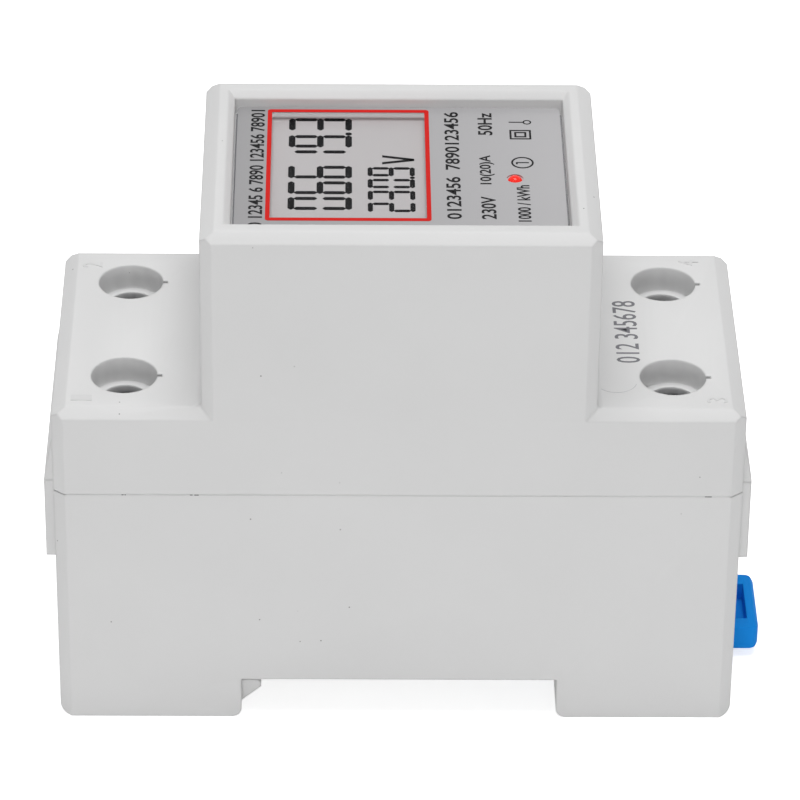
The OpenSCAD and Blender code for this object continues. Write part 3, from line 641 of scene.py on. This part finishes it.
class METER_OT_stage(bpy.types.Operator):
    """Set up the floor, the soft lamps, the world and the camera"""

    bl_idname = "meter.stage"
    bl_label = "Stage"

    def execute(self, context):
        scene = context.scene
        # Floor: white paper that still takes the object's shadow
        paper, tree, body = shader("white_paper", "#F4F4F4", 0.9)
        nodes, links = tree.nodes, tree.links
        out = nodes["Material Output"]
        path = add(tree, "ShaderNodeLightPath")
        seen = add(tree, "ShaderNodeMath", [(0, path, "Is Camera Ray"), (1, path, "Is Glossy Ray")], operation="MAXIMUM")
        shown = add(tree, "ShaderNodeMath", [(0, seen, "Value"), (1, path, "Is Transmission Ray")], operation="MAXIMUM")
        part = add(tree, "ShaderNodeMath", [(0, shown, "Value")], {1: 0.7}, operation="MULTIPLY")
        glow = add(tree, "ShaderNodeEmission", [("Strength", part, "Value")])
        mix = add(tree, "ShaderNodeAddShader", [(0, body, "BSDF"), (1, glow, "Emission")])
        links.new(mix.outputs["Shader"], out.inputs["Surface"])
        half = 3.0
        floor = bpy.data.meshes.new("floor")
        floor.from_pydata([(-half, -half, 0), (half, -half, 0), (half, half, 0), (-half, half, 0)], [], [(0, 1, 2, 3)])
        floor.materials.append(paper)
        ground = bpy.data.objects.new("floor", floor)
        scene.collection.objects.link(ground)

        world = bpy.data.worlds.new("studio")
        world.use_nodes = True
        scene.world = world
        tree = world.node_tree
        sky = tree.nodes["Background"]
        sky.inputs["Color"].default_value = (1, 1, 1, 1)
        path = add(tree, "ShaderNodeLightPath")
        seen = add(tree, "ShaderNodeMath", [(0, path, "Is Camera Ray"), (1, path, "Is Glossy Ray")], operation="MAXIMUM")
        shown = add(tree, "ShaderNodeMath", [(0, seen, "Value"), (1, path, "Is Transmission Ray")], operation="MAXIMUM")
        level = add(tree, "ShaderNodeMapRange", [("Value", shown, "Value")], {"To Min": 0.28, "To Max": 1.0})
        tree.links.new(level.outputs["Result"], sky.inputs["Strength"])

        lamps = (("top", (0.0, 0.0, 0.95), 0.6, 5.8), ("front", (-0.05, -0.95, 0.14), 0.4, 2.35))
        for name, place, size, watts in lamps:
            light = bpy.data.lights.new(name, "AREA")
            light.shape = "DISK"
            light.size = size
            light.energy = watts
            lamp = bpy.data.objects.new(name, light)
            lamp.location = place
            lamp.rotation_mode = "QUATERNION"
            lamp.rotation_quaternion = (Vector((0, 0, 0.03)) - Vector(place)).to_track_quat("-Z", "Y")
            scene.collection.objects.link(lamp)

        # Camera: fitted to the corners of the body in the photograph
        elevation, azimuth, roll, distance = map(math.radians, (32.670, -0.909, 0.710, 0))
        distance = 0.563733
        target = Vector((0.338, 0, 32.952)) * MM
        back = Vector((math.sin(azimuth) * math.cos(elevation), -math.cos(azimuth) * math.cos(elevation),
                       math.sin(elevation)))
        right = Vector((math.cos(azimuth), math.sin(azimuth), 0))
        up = back.cross(right)
        across = right * math.cos(roll) + up * math.sin(roll)
        over = up * math.cos(roll) - right * math.sin(roll)
        lens = bpy.data.cameras.new("camera")
        lens.sensor_width = 36
        lens.lens = 4788.0 / 800 * 36
        lens.clip_start, lens.clip_end = 0.01, 20
        camera = bpy.data.objects.new("camera", lens)
        camera.matrix_world = Matrix.Translation(target + back * distance) @ Matrix(
            (across, over, back)).transposed().to_4x4()
        scene.collection.objects.link(camera)
        scene.camera = camera
        scene.view_settings.view_transform = "Standard"
        return {"FINISHED"}


class METER_PT_panel(bpy.types.Panel):
    """Lists the meter's settings and pieces"""

    bl_idname = "METER_PT_panel"
    bl_label = "Meter"
    bl_space_type = "VIEW_3D"
    bl_region_type = "UI"
    bl_category = "Meter"

    def draw(self, context):
        for group in (context.scene.meter_sizes, context.scene.meter_colours):
            for key in group.bl_rna.properties.keys():
                if key not in ("rna_type", "name"):
                    self.layout.prop(group, key)
        for operator in OPERATORS:
            self.layout.operator(operator.bl_idname)


OPERATORS = (METER_OT_housing, METER_OT_clip, METER_OT_terminals, METER_OT_electronics, METER_OT_window,
             METER_OT_display, METER_OT_print, METER_OT_marks, METER_OT_stage)
CLASSES = (MeterSizes, MeterColours) + OPERATORS + (METER_PT_panel,)


def register():
    for cls in CLASSES:
        bpy.utils.register_class(cls)
    bpy.types.Scene.meter_sizes = bpy.props.PointerProperty(type=MeterSizes)
    bpy.types.Scene.meter_colours = bpy.props.PointerProperty(type=MeterColours)


def unregister():
    del bpy.types.Scene.meter_colours
    del bpy.types.Scene.meter_sizes
    for cls in reversed(CLASSES):
        bpy.utils.unregister_class(cls)


def main():
    register()
    for operator in (bpy.ops.meter.housing, bpy.ops.meter.clip, bpy.ops.meter.terminals, bpy.ops.meter.electronics,
                     bpy.ops.meter.window, bpy.ops.meter.display, bpy.ops.meter.plate_print, bpy.ops.meter.marks,
                     bpy.ops.meter.stage):
        operator()


if __name__ == "__main__":
    main()
